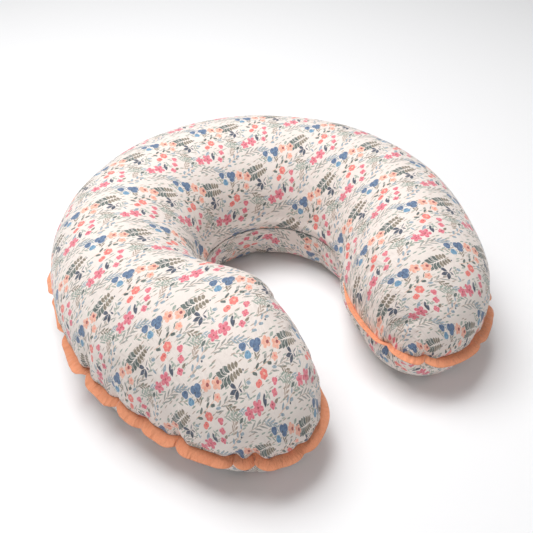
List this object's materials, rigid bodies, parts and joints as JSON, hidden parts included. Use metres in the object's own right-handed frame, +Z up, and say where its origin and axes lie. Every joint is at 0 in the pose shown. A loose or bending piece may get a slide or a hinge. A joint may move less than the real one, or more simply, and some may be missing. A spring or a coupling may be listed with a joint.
{
  "type": "nursing pillow",
  "caption": "U-shaped fibre-filled nursing pillow in a two-panel cover with a flat flange in its outer seam and a zip along its inner seam.",
  "frame": {"origin": "under the middle of the whole object, on the surface that it lies on", "axes": "+X across the U towards its right arm, +Y towards the closed back of the U, +Z up"},
  "size_m": [0.5798, 0.5612, 0.172],
  "materials": {
    "printed_cotton": "woven cotton, off-white with a small floral print",
    "flange_cotton": "woven cotton, plain salmon",
    "sewing_thread": "spun polyester thread",
    "zip_tape": "woven polyester tape",
    "zip_coil": "moulded nylon coil",
    "zip_metal": "enamelled zinc",
    "casing_cotton": "plain white woven cotton",
    "polyester_fibre": "loose hollow fibre",
    "label_satin": "blank satin tape"
  },
  "bodies": {
    "pillow": {"cover_top_panel": "printed_cotton", "cover_bottom_panel": "printed_cotton", "flange_trim": "flange_cotton", "outer_seam_thread": "sewing_thread", "inner_seam_thread": "sewing_thread", "zip_tape_upper": "zip_tape", "zip_tape_lower": "zip_tape", "zip_coil_upper": "zip_coil", "zip_coil_lower": "zip_coil", "zip_top_stops": "zip_metal", "zip_bottom_stop": "zip_metal", "zip_tape_thread": "sewing_thread", "casing_top": "casing_cotton", "casing_bottom": "casing_cotton", "casing_seam_thread": "sewing_thread", "casing_closing_stitches": "sewing_thread", "fibre_fill": "polyester_fibre", "law_label": "label_satin", "care_label": "label_satin"},
    "slider": {"zip_slider": "zip_metal"},
    "pull_tab": {"zip_pull_tab": "zip_metal"}
  },
  "joints": [
    {"name": "zip_travel", "type": "hinge", "parent": "pillow", "child": "slider", "pos_m": [0, -0.0274, 0.068], "axis": [0, 0, -1], "range_deg": [0, 178]},
    {"name": "tab_swing", "type": "hinge", "parent": "slider", "child": "pull_tab", "pos_m": [-0.08664, -0.02589, 0.068], "axis": [0, 0, 1], "range_deg": [0, 164]}
  ]
}
